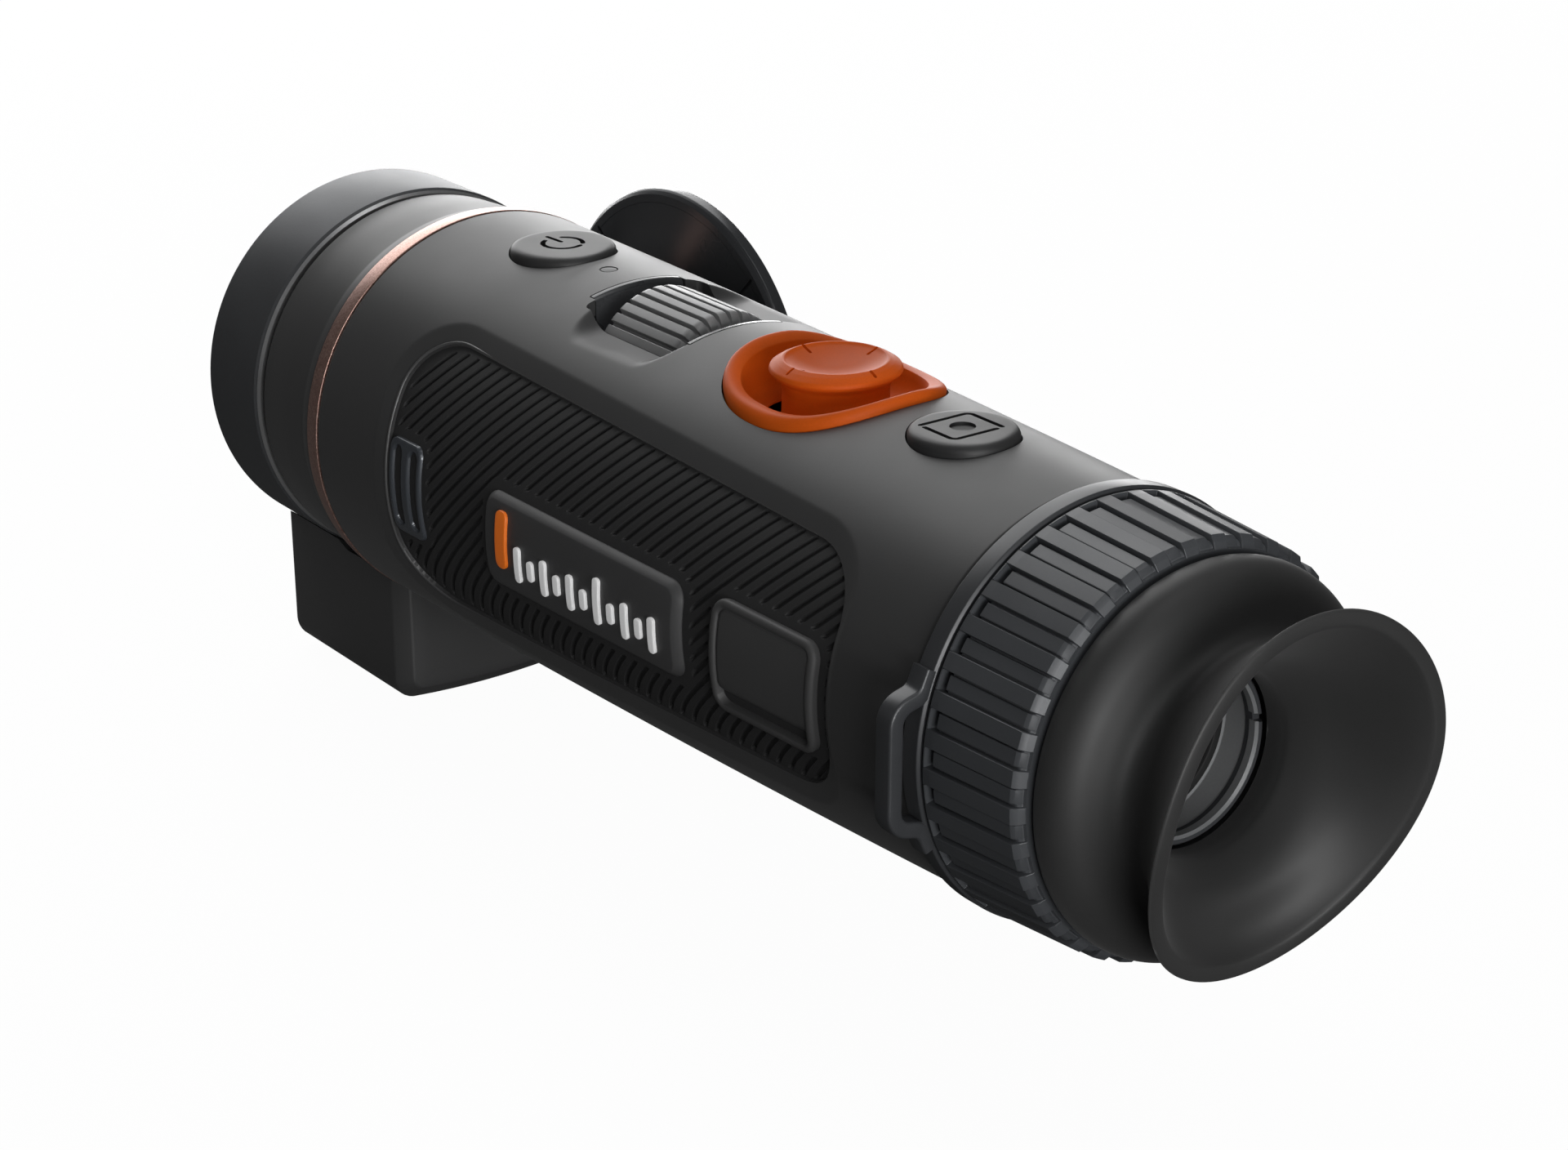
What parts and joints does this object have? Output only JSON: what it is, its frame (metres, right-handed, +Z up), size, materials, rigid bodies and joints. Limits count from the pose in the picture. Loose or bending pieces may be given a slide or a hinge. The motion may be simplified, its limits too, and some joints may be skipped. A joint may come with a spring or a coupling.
{
  "type": "thermal imaging monocular",
  "caption": "Handheld thermal monocular: round ribbed-grip body, focus wheel, thumb stick, buttons, rangefinder block under the lens, flared eyecup and a hinged lens cap.",
  "frame": {"origin": "centre of the flat tripod pad under the main casing", "axes": "+X along the optical axis towards the eyepiece, +Z up towards the buttons, -Y towards the side with the nameplate and port cover"},
  "size_m": [0.1966, 0.0652, 0.0719],
  "materials": {
    "soft_touch": "matte",
    "dark_metal": "satin",
    "copper_accent": "satin",
    "rubber_black": "matte",
    "orange_plastic": "satin",
    "semi_gloss_grey": "satin",
    "dark_plastic": "matte",
    "board_green": "satin",
    "bright_steel": "satin",
    "brass_gear": "satin",
    "coated_glass": "gloss",
    "germanium": "gloss",
    "battery_sleeve": "gloss"
  },
  "bodies": {
    "body": {"main_casing": "soft_touch", "front_collar": "soft_touch", "rangefinder_housing": "soft_touch", "objective_bezel": "dark_metal", "front_lens_retainer": "dark_metal", "focus_wheel_frame": "dark_metal", "cap_hinge_bracket": "dark_metal", "accent_ring": "copper_accent", "bezel_seal": "rubber_black", "left_grip_panel": "rubber_black", "right_grip_panel": "rubber_black", "joystick_bezel": "orange_plastic", "strap_anchor": "semi_gloss_grey", "strap_ring": "semi_gloss_grey", "objective_barrel": "dark_plastic", "nameplate": "dark_plastic", "battery_cradle": "dark_plastic", "display_frame": "dark_plastic", "joystick_base": "dark_plastic", "rear_bulkhead": "dark_plastic", "eyepiece_barrel": "dark_plastic", "sensor_board": "board_green", "main_board": "board_green", "power_board": "board_green", "button_board": "board_green", "usb_socket": "bright_steel", "detector_package": "bright_steel", "processor_heat_spreader": "bright_steel", "power_switch": "bright_steel", "camera_switch": "bright_steel", "cap_hinge_pin": "bright_steel", "tripod_insert": "brass_gear", "rangefinder_emitter_lens": "coated_glass", "rangefinder_receiver_lens": "coated_glass", "display_panel": "coated_glass", "status_light_pipe": "coated_glass", "objective_front_lens": "germanium", "battery_cell": "battery_sleeve"},
    "focus_knob": {"focus_wheel": "semi_gloss_grey", "focus_axle": "bright_steel", "focus_pinion": "brass_gear"},
    "focus_ring": {"focus_ring_gear": "brass_gear"},
    "focus_cell": {"focus_lens_cell": "dark_plastic", "focus_lens": "germanium"},
    "diopter": {"diopter_ring": "semi_gloss_grey"},
    "eye_cell": {"eyepiece_cell": "dark_plastic", "eye_lens": "coated_glass", "field_lens": "coated_glass", "eye_lens_retainer": "bright_steel"},
    "eyecup_body": {"eyecup": "rubber_black"},
    "power_key": {"power_button": "soft_touch"},
    "camera_key": {"camera_button": "soft_touch"},
    "stick_gimbal": {"joystick_gimbal": "bright_steel"},
    "stick_stem": {"joystick_stem": "bright_steel"},
    "stick_cap": {"joystick_cap": "orange_plastic"},
    "port_flap": {"port_cover": "rubber_black"},
    "cap_flap": {"lens_cap": "dark_metal"}
  },
  "joints": [
    {"name": "focus_turn", "type": "hinge", "parent": "body", "child": "focus_knob", "pos_m": [-0.0177, 0, 0.046], "axis": [1, 0, 0], "range_deg": [-180, 180]},
    {"name": "focus_ring_turn", "type": "hinge", "parent": "body", "child": "focus_ring", "pos_m": [-0.0345, 0, 0.028], "axis": [1, 0, 0], "range_deg": [-91, 91]},
    {"name": "focus_cell_slide", "type": "slide", "parent": "body", "child": "focus_cell", "axis": [1, 0, 0], "range_m": [-0.0016, 0.0016]},
    {"name": "diopter_turn", "type": "hinge", "parent": "body", "child": "diopter", "pos_m": [0.0695, 0, 0.028], "axis": [1, 0, 0], "range_deg": [-60, 60]},
    {"name": "eye_cell_slide", "type": "slide", "parent": "body", "child": "eye_cell", "axis": [1, 0, 0], "range_m": [-0.0016, 0.0016]},
    {"name": "eyecup_turn", "type": "hinge", "parent": "body", "child": "eyecup_body", "pos_m": [0.0825, 0, 0.028], "axis": [1, 0, 0], "range_deg": [-180, 180]},
    {"name": "power_press", "type": "slide", "parent": "body", "child": "power_key", "axis": [0, 0, -1], "range_m": [0, 0.0007]},
    {"name": "camera_press", "type": "slide", "parent": "body", "child": "camera_key", "axis": [0, 0, -1], "range_m": [0, 0.0007]},
    {"name": "stick_tilt_y", "type": "hinge", "parent": "body", "child": "stick_gimbal", "pos_m": [0.0135, 0, 0.042], "axis": [0, 1, 0], "range_deg": [-6, 6]},
    {"name": "stick_tilt_x", "type": "hinge", "parent": "stick_gimbal", "child": "stick_stem", "pos_m": [0.0135, 0, 0.042], "axis": [1, 0, 0], "range_deg": [-6, 6]},
    {"name": "stick_press", "type": "slide", "parent": "stick_stem", "child": "stick_cap", "axis": [0, 0, -1], "range_m": [0, 0.0006]},
    {"name": "port_open", "type": "hinge", "parent": "body", "child": "port_flap", "pos_m": [0.0324, -0.02573, 0.03538], "axis": [-1, 0, 0], "range_deg": [0, 110]},
    {"name": "cap_swing", "type": "hinge", "parent": "body", "child": "cap_flap", "pos_m": [-0.09774, 0.03295, 0.028], "axis": [0, 0, 1], "range_deg": [0, 266.7]}
  ],
  "couplings": [
    {"joint": "focus_ring_turn", "follows": "focus_turn", "ratio": -0.5},
    {"joint": "focus_cell_slide", "follows": "focus_turn", "m_per_rad": 0.00047746},
    {"joint": "eye_cell_slide", "follows": "diopter_turn", "m_per_rad": 0.0014324}
  ]
}
